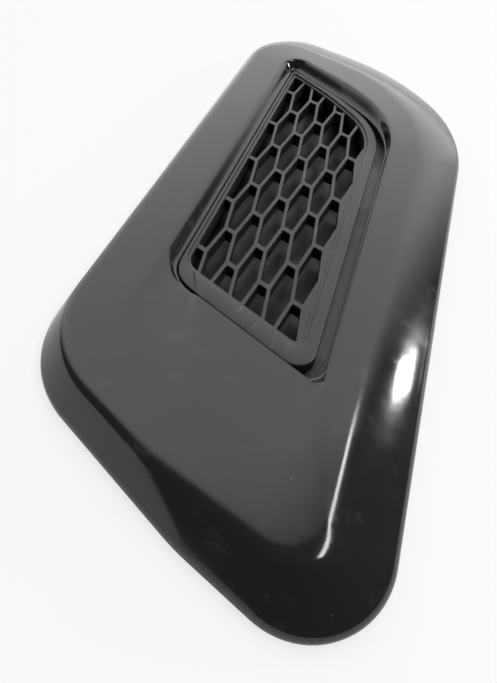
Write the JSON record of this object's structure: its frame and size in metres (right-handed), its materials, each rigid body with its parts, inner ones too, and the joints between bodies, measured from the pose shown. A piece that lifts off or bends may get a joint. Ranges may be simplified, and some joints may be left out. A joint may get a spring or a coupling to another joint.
{
  "type": "hood vent grille",
  "caption": "Moulded hood vent with a sloping skirt, a scooped opening, a recessed honeycomb grille and a closed tray behind it.",
  "frame": {"origin": "middle of the lip's plan box, on the plane where the lip rests on the panel", "axes": "+Z out of the panel, +Y along the mesh columns to the vent's far, slanted end, +X to the side with the open groove"},
  "size_m": [0.1424, 0.3334, 0.02],
  "materials": {
    "housing_plastic": "gloss black moulded plastic with a light haze",
    "insert_plastic": "satin black moulded plastic with scuffs",
    "tray_plastic": "plain black moulded plastic",
    "foam": "closed-cell foam",
    "screw_steel": "zinc plated",
    "insert_brass": "turned brass"
  },
  "bodies": {
    "root": {"housing": "housing_plastic", "mesh_insert": "insert_plastic", "drain_tray": "tray_plastic", "seal_gasket": "foam", "clamp_screws": "screw_steel", "threaded_inserts": "insert_brass"}
  },
  "joints": []
}
